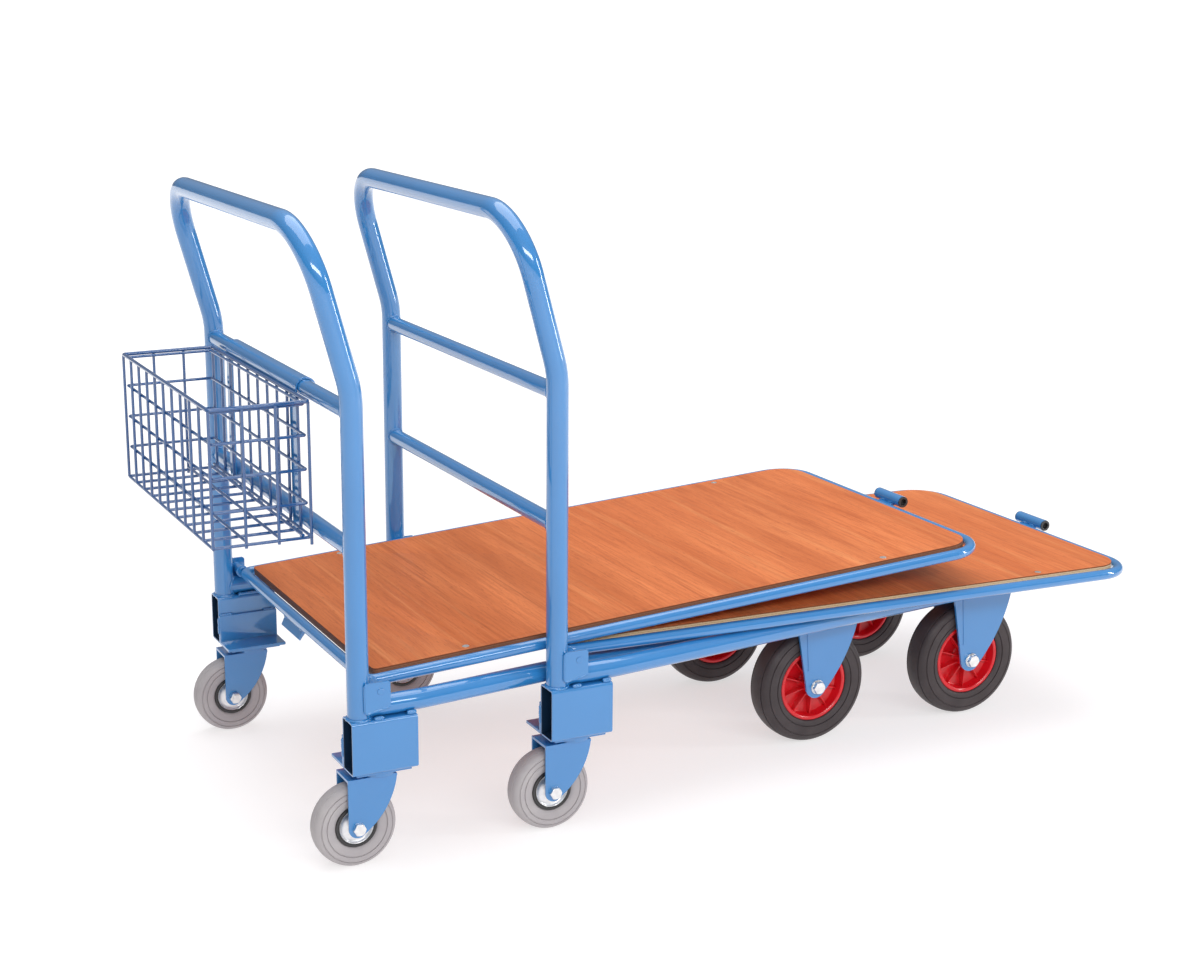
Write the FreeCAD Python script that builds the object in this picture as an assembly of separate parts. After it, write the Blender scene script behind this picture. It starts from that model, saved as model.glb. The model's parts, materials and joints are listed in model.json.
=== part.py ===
import FreeCAD
import Part
import math
import os

# Two nesting platform carts, one pushed into the other. All sizes are in millimetres.
# +X points to the big-wheel end, +Y to the left of the carts, +Z up, and the floor is Z = 0.
# The origin is under the middle of the nested pair. "right" pieces are on the -Y side.

V = FreeCAD.Vector
X_AXIS = V(1, 0, 0)
Y_AXIS = V(0, 1, 0)
Z_AXIS = V(0, 0, 1)

# ---- nesting -------------------------------------------------------------------------------
NEST_PITCH = 311.0            # how far apart two nested carts stand
REAR_DECK_TILT = 3.35         # the rear deck rides up on the front one, in degrees
FRONT_DECK_TILT = -0.84       # a deck that lies on its own chassis

# ---- clearances ----------------------------------------------------------------------------
WELD_GAP = 0.05               # left between two pieces that are welded or pressed together
BOLT_GAP = 0.1                # radial play of a bolt in a plate
RUN_GAP = 0.05                # radial play of a piece that turns on a pin

# ---- push bow ------------------------------------------------------------------------------
BOW_R = 16.0
BOW_WALL = 2.0
BOW_HALF = 320.0              # from the middle of the cart to each leg's axis
BOW_BEND_Z = 698.0            # where the legs start to lean back
BOW_TOP_X = -62.0
BOW_TOP_Z = 924.5
BOW_LEAN_R = 150.0
BOW_CORNER_R = 90.0
BAR_R = 12.5
BAR_WALL = 2.0
LOWER_BAR_Z = 475.0
UPPER_BAR_Z = 670.0

# ---- caster sockets: a box section with an angle on its inner side --------------------------
BOX_REAR = -17.0
BOX_FRONT = 83.0
BOX_IN = 300.0                # inner and outer faces, from the middle of the cart
BOX_OUT = 340.0
BOX_BOTTOM = 150.0
BOX_TOP = 230.0
BOX_WALL = 3.0
BOX_CORNER_R = 5.0
ANGLE_LEG = 50.0
ANGLE_WALL = 5.0

# ---- chassis rails: one tube bent to a U; its ends lie on the boxes and meet the bow's legs ----
RAIL_R = 15.0
RAIL_WALL = 2.5
RAIL_REAR_Y = 320.0
RAIL_FRONT_Y = 172.0
RAIL_TAPER_X = 90.0           # where the rails begin to run inwards
RAIL_FRONT_X = 1045.0
RAIL_REAR_Z = BOX_TOP + RAIL_R + WELD_GAP
RAIL_FRONT_Z = 232.0
RAIL_BEND_R = 150.0
RAIL_CORNER_R = 80.0
CROSS_TUBE_X = 872.0

# ---- deck hinge ------------------------------------------------------------------------------
HINGE_X = 27.0                # the deck swings about the axis of its own rear tube
HINGE_Z = 272.0
HINGE_PLATE_IN = 335.2        # the plates stand outside the rails
HINGE_PLATE_T = 4.0
HINGE_PLATE_REAR = 4.0
HINGE_PLATE_FRONT = 42.0
HINGE_PLATE_TOP = 286.0
HINGE_PLATE_LOW_REAR = 241.0  # the lower edge rises towards the front
HINGE_PLATE_LOW_FRONT = 248.0
HINGE_PLATE_RADII = (1.0, 3.0, 4.0, 1.0)
HINGE_PIN_R = 5.0
HINGE_PIN_END = 300.3         # from the middle of the cart
HINGE_PIN_PROUD = 1.0
BOSS_R = 8.5                  # the boss on each rear corner of the deck
BOSS_IN = 293.0
BOSS_OUT = 333.5
BOSS_BORE_END = 299.5

# ---- deck: heights are above the edge tube's axis ----------------------------------------------
DECK_TUBE_R = 8.6
DECK_TUBE_WALL = 2.0
DECK_HALF = 292.0
DECK_REAR_X = HINGE_X
DECK_FRONT_X = 1101.0
DECK_REAR_R = 14.0
DECK_FRONT_R = 60.0
SLAT_X = (190.0, 430.0, 675.0, 920.0)
SLAT_WIDTH = 30.0
SLAT_LOW = -5.5
SLAT_T = 5.0
REST_BAR_X = 1045.0
REST_BAR_DEPTH = 9.2          # the front bar is deeper, and lies on the chassis
REST_BAR_WALL = 2.0
BOARD_T = 12.0
BOARD_REAR_X = 40.0
BOARD_GAP = 3.2               # between the board's edge and the tube
BOARD_CORNER_R = 48.0
BOARD_REAR_R = 8.0
SCREW_R = 2.5
SCREW_HEAD_R = 5.5
SCREW_HEAD_T = 3.0
SCREW_TIP = 1.5               # how far a screw comes out below its slat
SCREW_Y = 266.0
SCREW_PLAY = 0.12

# ---- bumper and guide tab --------------------------------------------------------------------
BUMPER_R = 10.0
BUMPER_WALL = 2.0
BUMPER_LENGTH = 70.0
BUMPER_AHEAD = 21.0
BUMPER_H = 12.0
BUMPER_TAB_WIDTH = 36.0
BUMPER_TAB_T = 5.0
BUMPER_TAB_RISE = 4.0
PLUG_T = 2.0
PLUG_DEPTH = 8.0
GUIDE_Y = 20.0
GUIDE_WIDTH = 84.0
GUIDE_T = 3.0
GUIDE_REACH = 14.0
GUIDE_BENT = 3.0              # the tab's free edge is turned up by this much

# ---- big wheels ------------------------------------------------------------------------------
WHEEL_X = 854.0
WHEEL_R = 100.0
WHEEL_Y = 156.0
WHEEL_HALF = 25.0
WHEEL_HUB_R = 62.0
WHEEL_HUB_HALF = 28.0
WHEEL_RIBS = 10
FORK_IN = 28.4                # inner face of each fork leg, from the wheel's middle plane
FORK_T = 4.0
FORK_REAR_X = 812.0
FORK_FRONT_X = 932.0
FORK_END_X = 852.0            # the middle of each leg's rounded foot
FORK_END_R = 19.0
FORK_LEAN = 27.0              # where the foot's round ends, in degrees below level
FORK_CURVE = V(914, 0, 161)   # a point on each leg's rounded front edge
CREASE_R = 1.2                # a pressed line near each leg's rear edge
CREASE_INSET = 17.0
CREASE_FOOT = V(2, 0, 30)
AXLE_R = 6.0
WASHER_R = 12.0
WASHER_T = 1.5
HEX_M12 = 19.0
HEAD_M12 = 7.5
NUT_M12 = 10.0
BOLT_TIP = 3.0                # how far a bolt comes out of its nut

# ---- casters ---------------------------------------------------------------------------------
SWIVEL_X = 34.0
CASTER_Y = 296.0
CASTER_TRAIL = 37.0
CASTER_R = 62.5
CASTER_HALF = 18.0
CASTER_HUB_R = 32.0
CASTER_HUB_HALF = 21.2
CASTER_FORK_IN = 21.6
CASTER_FORK_T = 3.0
CASTER_CROWN_LOW = 134.0
CASTER_CROWN_T = 4.0
CASTER_REAR_X = -18.0
CASTER_FRONT_X = 57.0
CASTER_END_R = 14.0
CASTER_LEAN = 40.0
CASTER_CURVE = V(45, 0, 97)
CASTER_AXLE_R = 5.0
HEX_M10 = 17.0
HEAD_M10 = 6.4
NUT_M10 = 8.0
RACE_R = 30.0
RACE_RIM = 3.0                # the upper race is this much wider
RACE_TOP = 141.2
RACE_PLAY = 0.4
PLATE_BOTTOM = 145.0
PLATE_HALF_X = 42.0
PLATE_HALF_Y = 35.0
KINGPIN_R = 8.0
KINGPIN_FOOT_R = 9.0
KINGPIN_HEAD_R = 12.0
KINGPIN_HEAD_T = 5.6

# ---- wire basket on the rear cart --------------------------------------------------------------
WIRE_R = 2.0
RIM_R = 3.0
BASKET_Y = 35.0
BASKET_HALF = 231.0
BASKET_INNER_X = -18.9
BASKET_DEPTH = 146.0
BASKET_BOTTOM = 466.0
BASKET_RIM_Z = 664.0
BASKET_LONG_CELLS = 10
BASKET_DEEP_CELLS = 3
BASKET_ROWS = 4
HOOK_T = 3.0
HOOK_WIDTH = 28.0
HOOK_SPREAD = 154.0
HOOK_GAP = 0.35
HOOK_LIP = 6.0
HOOK_FOOT_Z = 452.0

# The nested pair reaches from the basket's outer rim to the front bumper.
FRONT_TILT = math.radians(FRONT_DECK_TILT)
BUMPER_REACH = (math.cos(FRONT_TILT) * (DECK_FRONT_X + BUMPER_AHEAD - HINGE_X)
                - math.sin(FRONT_TILT) * BUMPER_H + BUMPER_R)
PAIR_BACK = BASKET_INNER_X - BASKET_DEPTH - RIM_R
PAIR_FRONT = NEST_PITCH + HINGE_X + BUMPER_REACH
REAR_CART_X = -(PAIR_BACK + PAIR_FRONT) / 2
FRONT_CART_X = REAR_CART_X + NEST_PITCH


# ---- shape helpers -----------------------------------------------------------------------------

def block(x0, x1, y0, y1, z0, z1):
    """A box between two corners."""
    return Part.makeBox(x1 - x0, y1 - y0, z1 - z0, V(x0, y0, z0))


def rod(start, end, radius):
    """A round bar between two points."""
    along = end - start
    return Part.makeCylinder(radius, along.Length, start, along)


def hollow_rod(start, end, radius, wall):
    """A straight tube between two points."""
    return rod(start, end, radius).cut(rod(start, end, radius - wall))


def hexagon(centre, axis, across_flats, height):
    """A hexagonal bolt head or nut that stands on centre and points along axis."""
    corner_r = across_flats / math.sqrt(3)
    side = V(axis.y, axis.z, axis.x)
    corners = []
    for i in range(7):
        turn = FreeCAD.Rotation(axis, 60 * i)
        corners.append(centre + turn.multVec(side) * corner_r)
    prism = Part.Face(Part.makePolygon(corners)).extrude(axis * height)
    chamfer = corner_r - across_flats / 2
    crown = Part.makeCone(corner_r + height, across_flats / 2, height + chamfer,
                          centre - axis * chamfer, axis)
    return prism.common(crown)


def bolt(start, axis, shaft_r, length, across_flats, head):
    """A bolt whose head sits just behind start and whose shaft runs along axis."""
    shaft = Part.makeCylinder(shaft_r, length, start, axis)
    return shaft.fuse(hexagon(start, axis * -1, across_flats, head)).removeSplitter()


def nut(start, axis, shaft_r, across_flats, height):
    """A nut that sits on start, with a hole that clears the shaft."""
    return hexagon(start, axis, across_flats, height).cut(
        Part.makeCylinder(shaft_r + WELD_GAP, 3 * height, start - axis * height, axis))


def rounded_path(points, radii, closed=False):
    """Straight runs joined by arcs. radii belong to the inner points, or to all of a closed path."""
    count = len(points)
    corners = range(count) if closed else range(1, count - 1)
    edges = []
    first = last = None if closed else points[0]
    for corner, radius in zip(corners, radii):
        here = points[corner]
        back = (points[corner - 1] - here).normalize()
        ahead = (points[(corner + 1) % count] - here).normalize()
        half = back.getAngle(ahead) / 2
        middle = (back + ahead).normalize()
        enter = here + back * (radius / math.tan(half))
        leave = here + ahead * (radius / math.tan(half))
        crown = here + middle * (radius / math.sin(half) - radius)
        if last is not None:
            edges.append(Part.LineSegment(last, enter).toShape())
        else:
            first = enter
        edges.append(Part.Arc(enter, crown, leave).toShape())
        last = leave
    edges.append(Part.LineSegment(last, first if closed else points[-1]).toShape())
    return Part.Wire(edges)


def bent_rod(points, radii, radius, closed=False):
    """A round bar swept along a rounded path."""
    path = rounded_path(points, radii, closed)
    edge = path.Edges[-1]
    start = edge.valueAt(edge.LastParameter) if closed else points[0]
    along = edge.tangentAt(edge.LastParameter) if closed else points[1] - points[0]
    disc = Part.Face(Part.Wire(Part.makeCircle(radius, start, along)))
    return path.makePipe(disc)


def bent_tube(points, radii, radius, wall, closed=False):
    """A tube swept along a rounded path."""
    return bent_rod(points, radii, radius, closed).cut(bent_rod(points, radii, radius - wall, closed))


def plate_xz(outline, y0, y1):
    """A flat plate with an outline in X and Z. outline is a closed wire at Y = 0."""
    plate = Part.Face(outline).extrude(V(0, y1 - y0, 0))
    plate.translate(V(0, y0, 0))
    return plate


def polygon_xz(corners):
    """A closed outline of straight edges in X and Z."""
    points = [V(x, 0, z) for x, z in corners]
    return Part.makePolygon(points + points[:1])


def turned(profile, x, y, z):
    """A ring turned about the Y direction from a closed profile of (radius, offset) corners."""
    points = [V(x + r, y + offset, z) for r, offset in profile]
    face = Part.Face(Part.makePolygon(points + points[:1]))
    return face.revolve(V(x, y, z), Y_AXIS, 360)


def ring(r0, r1, low, high, place):
    """A square ring about the Y direction, to be cut from a wheel at its place."""
    return turned(((r0, low), (r1, low), (r1, high), (r0, high)), *place)


def largest(shape):
    """The biggest solid of a shape that a cut has left in several."""
    return max(shape.Solids, key=lambda solid: solid.Volume)


def both_sides(shapes):
    """The given pieces and their mirror images on the other side of the cart."""
    return shapes + [shape.mirror(V(0, 0, 0), Y_AXIS) for shape in shapes]


# ---- chassis ------------------------------------------------------------------------------------

def push_bow():
    """The handle: one tube bent over the top, with legs that lean back above the upper bar."""
    points = [V(0, -BOW_HALF, BOX_TOP), V(0, -BOW_HALF, BOW_BEND_Z), V(BOW_TOP_X, -BOW_HALF, BOW_TOP_Z),
              V(BOW_TOP_X, BOW_HALF, BOW_TOP_Z), V(0, BOW_HALF, BOW_BEND_Z), V(0, BOW_HALF, BOX_TOP)]
    radii = (BOW_LEAN_R, BOW_CORNER_R, BOW_CORNER_R, BOW_LEAN_R)
    return [bent_tube(points, radii, BOW_R, BOW_WALL)]


def leg_space(play):
    """The space that a right leg of the bow takes up, plus some play."""
    return rod(V(0, -BOW_HALF, BOX_TOP), V(0, -BOW_HALF, BOW_BEND_Z), BOW_R + play)


def crossbars():
    """Two tubes between the legs, with their ends cut to fit the round legs."""
    legs = both_sides([leg_space(3 * WELD_GAP)])
    bars = []
    for height in (LOWER_BAR_Z, UPPER_BAR_Z):
        end = BOW_HALF - BOW_R / 2
        bar = hollow_rod(V(0, -end, height), V(0, end, height), BAR_R, BAR_WALL)
        bars.append(bar.cut(Part.makeCompound(legs)).Solids[0])
    return bars


def rail_height(x):
    """The rail axis rises a little towards the front."""
    return RAIL_REAR_Z + (RAIL_FRONT_Z - RAIL_REAR_Z) * (x - RAIL_TAPER_X) / (RAIL_FRONT_X - RAIL_TAPER_X)


def rail_y(x):
    """Distance of the rail axis from the middle of the cart."""
    return RAIL_REAR_Y + (RAIL_FRONT_Y - RAIL_REAR_Y) * (x - RAIL_TAPER_X) / (RAIL_FRONT_X - RAIL_TAPER_X)


def chassis_frame():
    """The bent rail, with its ends cut to fit the bow's legs, and the cross tube above the big wheels."""
    right = [V(0, -RAIL_REAR_Y, RAIL_REAR_Z), V(RAIL_TAPER_X, -RAIL_REAR_Y, RAIL_REAR_Z),
             V(RAIL_FRONT_X, -RAIL_FRONT_Y, RAIL_FRONT_Z)]
    left = [V(p.x, -p.y, p.z) for p in reversed(right)]
    radii = (RAIL_BEND_R, RAIL_CORNER_R, RAIL_CORNER_R, RAIL_BEND_R)
    rail = bent_tube(right + left, radii, RAIL_R, RAIL_WALL)
    rail = rail.cut(Part.makeCompound(both_sides([leg_space(WELD_GAP)])))
    end_y = rail_y(CROSS_TUBE_X)
    height = rail_height(CROSS_TUBE_X)
    cross = hollow_rod(V(CROSS_TUBE_X, -end_y, height), V(CROSS_TUBE_X, end_y, height), RAIL_R, RAIL_WALL)
    spaces = both_sides([rod(right[1], right[2], RAIL_R + WELD_GAP)])
    cross = cross.cut(Part.makeCompound(spaces))
    return [largest(rail), largest(cross)]


def rounded_section(y0, y1, z0, z1, radius):
    """The outline of a box section, seen along X."""
    points = [V(0, y0, z0), V(0, y1, z0), V(0, y1, z1), V(0, y0, z1)]
    return Part.Face(rounded_path(points, [radius] * 4, closed=True))


def caster_mounts():
    """On each side, a box section that is open at both ends, and an angle that widens its foot."""
    outside = rounded_section(-BOX_OUT, -BOX_IN, BOX_BOTTOM, BOX_TOP, BOX_CORNER_R)
    inside = rounded_section(-BOX_OUT + BOX_WALL, -BOX_IN - BOX_WALL, BOX_BOTTOM + BOX_WALL,
                             BOX_TOP - BOX_WALL, BOX_CORNER_R - BOX_WALL)
    length = V(BOX_FRONT - BOX_REAR, 0, 0)
    section = outside.extrude(length).cut(inside.extrude(length))
    section.translate(V(BOX_REAR, 0, 0))
    angle = block(BOX_REAR, BOX_FRONT, -BOX_IN, -BOX_IN + ANGLE_LEG, BOX_BOTTOM, BOX_BOTTOM + ANGLE_LEG)
    angle = angle.cut(block(BOX_REAR, BOX_FRONT, -BOX_IN + ANGLE_WALL, -BOX_IN + ANGLE_LEG,
                            BOX_BOTTOM + ANGLE_WALL, BOX_BOTTOM + ANGLE_LEG))
    return both_sides([section, angle])


def hinge_plates():
    """The plates on the rails' outer sides that carry the deck hinge."""
    x0 = HINGE_PLATE_REAR
    x1 = HINGE_PLATE_FRONT
    outline = rounded_path([V(x0, 0, HINGE_PLATE_LOW_REAR), V(x1, 0, HINGE_PLATE_LOW_FRONT),
                            V(x1, 0, HINGE_PLATE_TOP), V(x0, 0, HINGE_PLATE_TOP)],
                           HINGE_PLATE_RADII, closed=True)
    plate = plate_xz(outline, -HINGE_PLATE_IN - HINGE_PLATE_T, -HINGE_PLATE_IN)
    hole = rod(V(HINGE_X, -BOX_OUT, HINGE_Z), V(HINGE_X, -BOSS_OUT, HINGE_Z), HINGE_PIN_R + WELD_GAP)
    return both_sides([plate.cut(hole).cut(leg_space(WELD_GAP))])


def hinge_pins():
    """The two pins that the deck swings on, fixed in the plates."""
    outer = HINGE_PLATE_IN + HINGE_PLATE_T + HINGE_PIN_PROUD
    return both_sides([rod(V(HINGE_X, -outer, HINGE_Z), V(HINGE_X, -HINGE_PIN_END, HINGE_Z), HINGE_PIN_R)])


def fork_top():
    """The height of the big-wheel forks' top plates, just under the rails."""
    return rail_height(FORK_FRONT_X) - RAIL_R - WELD_GAP


def wheel_forks():
    """A folded fork over each big wheel: two tapering legs and the plate that joins them."""
    top = fork_top()
    end = V(FORK_END_X, 0, WHEEL_R)
    back_foot = end + V(-FORK_END_R, 0, 0)
    lean = math.radians(FORK_LEAN)
    front_foot = end + V(FORK_END_R * math.cos(lean), 0, -FORK_END_R * math.sin(lean))
    outline = Part.Wire([
        Part.LineSegment(V(FORK_REAR_X, 0, top), back_foot).toShape(),
        Part.Arc(back_foot, end + V(0, 0, -FORK_END_R), front_foot).toShape(),
        Part.Arc(front_foot, FORK_CURVE, V(FORK_FRONT_X, 0, top)).toShape(),
        Part.LineSegment(V(FORK_FRONT_X, 0, top), V(FORK_REAR_X, 0, top)).toShape()])
    fork = block(FORK_REAR_X, FORK_FRONT_X, -FORK_IN - FORK_T, FORK_IN + FORK_T, top - FORK_T, top)
    crease = rod(V(FORK_REAR_X + CREASE_INSET, 0, top - FORK_T), back_foot + CREASE_FOOT, CREASE_R)
    for side in (-1, 1):
        outer = side * (FORK_IN + FORK_T)
        inner = side * FORK_IN
        leg = plate_xz(outline, min(outer, inner), max(outer, inner))
        line = crease.copy()
        line.translate(V(0, outer, 0))
        fork = fork.fuse(leg.cut(line))
    reach = Y_AXIS * (2 * FORK_IN)
    hub = V(WHEEL_X, 0, WHEEL_R)
    hole = rod(hub - reach, hub + reach, AXLE_R + BOLT_GAP)
    fork = fork.cut(hole).removeSplitter()
    fork.translate(V(0, -WHEEL_Y, 0))
    return both_sides([fork])


def wheel_axles():
    """The bolt, nut and washer that each big wheel turns on."""
    outer = V(WHEEL_X, -WHEEL_Y - FORK_IN - FORK_T, WHEEL_R)
    inner = V(WHEEL_X, -WHEEL_Y + FORK_IN + FORK_T, WHEEL_R)
    seat = outer - Y_AXIS * WASHER_T
    length = (inner - seat).Length + NUT_M12 + BOLT_TIP
    pin = bolt(seat, Y_AXIS, AXLE_R, length, HEX_M12, HEAD_M12)
    lock = nut(inner, Y_AXIS, AXLE_R, HEX_M12, NUT_M12)
    washer = hollow_rod(seat, outer, WASHER_R, WASHER_R - AXLE_R - WELD_GAP)
    return both_sides([pin, lock, washer])


# ---- casters ------------------------------------------------------------------------------------

def caster_plates():
    """The plate that is welded to the chassis, with its ball race, and the kingpin riveted into it."""
    plate = block(SWIVEL_X - PLATE_HALF_X, SWIVEL_X + PLATE_HALF_X, -CASTER_Y - PLATE_HALF_Y,
                  -CASTER_Y + PLATE_HALF_Y, PLATE_BOTTOM, BOX_BOTTOM - WELD_GAP)
    race = Part.makeCylinder(RACE_R + RACE_RIM, PLATE_BOTTOM - RACE_TOP - RACE_PLAY,
                             V(SWIVEL_X, -CASTER_Y, RACE_TOP + RACE_PLAY))
    bore = rod(V(SWIVEL_X, -CASTER_Y, RACE_TOP), V(SWIVEL_X, -CASTER_Y, BOX_BOTTOM), KINGPIN_R + WELD_GAP)
    plate = plate.fuse(race).cut(bore).removeSplitter()
    foot = CASTER_CROWN_LOW - RACE_PLAY
    pin = Part.makeCylinder(KINGPIN_R, BOX_BOTTOM - WELD_GAP - foot, V(SWIVEL_X, -CASTER_Y, foot))
    head = Part.makeCone(KINGPIN_FOOT_R, KINGPIN_HEAD_R, KINGPIN_HEAD_T,
                         V(SWIVEL_X, -CASTER_Y, foot - KINGPIN_HEAD_T))
    return both_sides([plate, pin.fuse(head).removeSplitter()])


def caster_fork():
    """The right caster's pressed fork: a crown with a race on it, and two legs that trail to the rear."""
    axle_x = SWIVEL_X - CASTER_TRAIL
    crown_top = CASTER_CROWN_LOW + CASTER_CROWN_T
    end = V(axle_x - 1, 0, CASTER_R)
    back_foot = end + V(-CASTER_END_R, 0, 0)
    lean = math.radians(CASTER_LEAN)
    front_foot = end + V(CASTER_END_R * math.cos(lean), 0, -CASTER_END_R * math.sin(lean))
    outline = Part.Wire([
        Part.LineSegment(V(CASTER_REAR_X, 0, crown_top), back_foot).toShape(),
        Part.Arc(back_foot, end + V(0, 0, -CASTER_END_R), front_foot).toShape(),
        Part.Arc(front_foot, CASTER_CURVE, V(CASTER_FRONT_X, 0, crown_top)).toShape(),
        Part.LineSegment(V(CASTER_FRONT_X, 0, crown_top), V(CASTER_REAR_X, 0, crown_top)).toShape()])
    half = CASTER_FORK_IN + CASTER_FORK_T
    fork = block(CASTER_REAR_X, CASTER_FRONT_X, -half, half, CASTER_CROWN_LOW, crown_top)
    for y0, y1 in ((-half, -CASTER_FORK_IN), (CASTER_FORK_IN, half)):
        fork = fork.fuse(plate_xz(outline, y0, y1))
    fork = fork.fuse(Part.makeCylinder(RACE_R, RACE_TOP - crown_top, V(SWIVEL_X, 0, crown_top)))
    axle = V(axle_x, 0, CASTER_R)
    fork = fork.cut(rod(axle - Y_AXIS * 2 * half, axle + Y_AXIS * 2 * half, CASTER_AXLE_R + BOLT_GAP))
    fork = fork.cut(rod(V(SWIVEL_X, 0, CASTER_R), V(SWIVEL_X, 0, PLATE_BOTTOM), KINGPIN_R + RUN_GAP))
    fork = fork.removeSplitter()
    fork.translate(V(0, -CASTER_Y, 0))
    return [fork]


def caster_axle():
    """The right caster's axle bolt and nut."""
    axle_x = SWIVEL_X - CASTER_TRAIL
    half = CASTER_FORK_IN + CASTER_FORK_T
    length = 2 * half + NUT_M10 + BOLT_TIP / 3
    pin = bolt(V(axle_x, -CASTER_Y - half, CASTER_R), Y_AXIS, CASTER_AXLE_R, length, HEX_M10, HEAD_M10)
    lock = nut(V(axle_x, -CASTER_Y + half, CASTER_R), Y_AXIS, CASTER_AXLE_R, HEX_M10, NUT_M10)
    return [pin, lock]


def caster_tyre():
    """The right caster's rubber tyre, with fine rings on its side walls."""
    place = (SWIVEL_X - CASTER_TRAIL, -CASTER_Y, CASTER_R)
    inner = CASTER_HUB_R + WELD_GAP
    half = CASTER_HALF
    edge = ((inner, half - 4), (36, half - 2), (42, half - 1), (52, half), (56, half - 0.6),
            (59.5, half - 3.2), (61.5, half - 7.5), (CASTER_R, half - 13))
    tyre = turned(edge + tuple((r, -offset) for r, offset in reversed(edge)), *place)
    for radius, depth in ((45, 1.3), (54, 0.9)):
        tyre = tyre.cut(ring(radius, radius + 1.2, half - depth, half + 1, place))
        tyre = tyre.cut(ring(radius, radius + 1.2, -half - 1, depth - half, place))
    return [tyre]


def caster_hub():
    """The right caster's hub: a rim, a dished web and a boss that runs on the axle."""
    place = (SWIVEL_X - CASTER_TRAIL, -CASTER_Y, CASTER_R)
    rim = CASTER_HUB_R
    edge = ((CASTER_AXLE_R + RUN_GAP, CASTER_HUB_HALF), (11, CASTER_HUB_HALF), (12.5, 15), (16, 12),
            (24, 11), (27, 13.5), (29, 15), (rim, 14))
    return [turned(edge + tuple((r, -offset) for r, offset in reversed(edge)), *place)]


# ---- big wheels -----------------------------------------------------------------------------------

def wheel_tyre():
    """The right big wheel's tyre, with a groove beside each shoulder."""
    place = (WHEEL_X, -WHEEL_Y, WHEEL_R)
    inner = WHEEL_HUB_R + WELD_GAP
    half = WHEEL_HALF
    edge = ((inner, half - 4), (66, half - 1.5), (74, half - 0.3), (84, half), (89, half - 0.8),
            (93.5, half - 3), (97, half - 7), (99, half - 12), (WHEEL_R, half - 19))
    tyre = turned(edge + tuple((r, -offset) for r, offset in reversed(edge)), *place)
    for y0 in (half - 11.2, 8.8 - half):
        tyre = tyre.cut(ring(97, WHEEL_R + 1, y0, y0 + 2.4, place))
    for radius in (70.5, 86.0):
        tyre = tyre.cut(ring(radius, radius + 1.5, half - 1.4, half + 1, place))
        tyre = tyre.cut(ring(radius, radius + 1.5, -half - 1, 1.4 - half, place))
    return [tyre]


def wheel_hub():
    """The right big wheel's moulded hub: rim, thin web, boss and radial ribs on both faces."""
    x, y, z = WHEEL_X, -WHEEL_Y, WHEEL_R
    rim = WHEEL_HUB_R
    edge = ((AXLE_R + RUN_GAP, WHEEL_HUB_HALF), (15, WHEEL_HUB_HALF), (17, 9), (19, 4), (53, 4),
            (54.5, 20), (57, 22), (rim, 21))
    hub = turned(edge + tuple((r, -offset) for r, offset in reversed(edge)), x, y, z)
    for i in range(WHEEL_RIBS):
        rib = plate_xz(polygon_xz(((16, -1.25), (55, -1.25), (55, 1.25), (16, 1.25))), -13, 13)
        rib.rotate(V(0, 0, 0), Y_AXIS, 360 / WHEEL_RIBS * (i + 0.5))
        rib.translate(V(x, y, z))
        hub = hub.fuse(rib)
    return [hub.removeSplitter()]


# ---- deck, drawn level and tilted about its hinge afterwards ------------------------------------------

DECK_Z = HINGE_Z
DECK_LINE = [V(DECK_REAR_X, -DECK_HALF, DECK_Z), V(DECK_FRONT_X, -DECK_HALF, DECK_Z),
             V(DECK_FRONT_X, DECK_HALF, DECK_Z), V(DECK_REAR_X, DECK_HALF, DECK_Z)]
DECK_RADII = (DECK_REAR_R, DECK_FRONT_R, DECK_FRONT_R, DECK_REAR_R)


def deck_frame():
    """The edge tube: a closed rounded rectangle."""
    return [bent_tube(DECK_LINE, DECK_RADII, DECK_TUBE_R, DECK_TUBE_WALL, closed=True)]


def edge_tube_space():
    """The space that the edge tube takes up, for what is welded against it."""
    return bent_rod(DECK_LINE, DECK_RADII, DECK_TUBE_R + WELD_GAP, closed=True)


def screw_places():
    """The board's screws, in X and Y."""
    return [(x, side * SCREW_Y) for x in (SLAT_X[0], SLAT_X[-1]) for side in (-1, 1)]


def screw(x, y, play):
    """A countersunk screw through the board and the bar below it, or its hole."""
    top = DECK_Z + SLAT_LOW + SLAT_T + BOARD_T
    length = BOARD_T + SLAT_T + SCREW_TIP
    shaft = Part.makeCylinder(SCREW_R + play, length, V(x, y, top - length))
    head = Part.makeCone(SCREW_R + play, SCREW_HEAD_R + play, SCREW_HEAD_T, V(x, y, top - SCREW_HEAD_T))
    return shaft.fuse(head).removeSplitter()


def deck_screws():
    """Four screws with countersunk heads."""
    return [screw(x, y, 0) for x, y in screw_places()]


def without_screws(shape):
    """A piece with its screw holes cut."""
    return shape.cut(Part.makeCompound([screw(x, y, SCREW_PLAY) for x, y in screw_places()]))


def deck_slats():
    """Flat bars across the frame, and a deeper front bar that lies on the chassis."""
    low = DECK_Z + SLAT_LOW
    end = DECK_HALF - DECK_TUBE_R - WELD_GAP
    bars = [block(x - SLAT_WIDTH / 2, x + SLAT_WIDTH / 2, -end, end, low, low + SLAT_T) for x in SLAT_X]
    x0 = REST_BAR_X - SLAT_WIDTH / 2
    x1 = REST_BAR_X + SLAT_WIDTH / 2
    top = low + SLAT_T
    bottom = top - REST_BAR_DEPTH
    rest = block(x0, x1, -end, end, bottom, top)
    wall = REST_BAR_WALL
    rest = rest.cut(block(x0 + wall, x1 - wall, -end, end, bottom + wall, top - wall))
    bars.append(largest(rest.cut(edge_tube_space())))
    return [without_screws(bar) for bar in bars]


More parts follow.
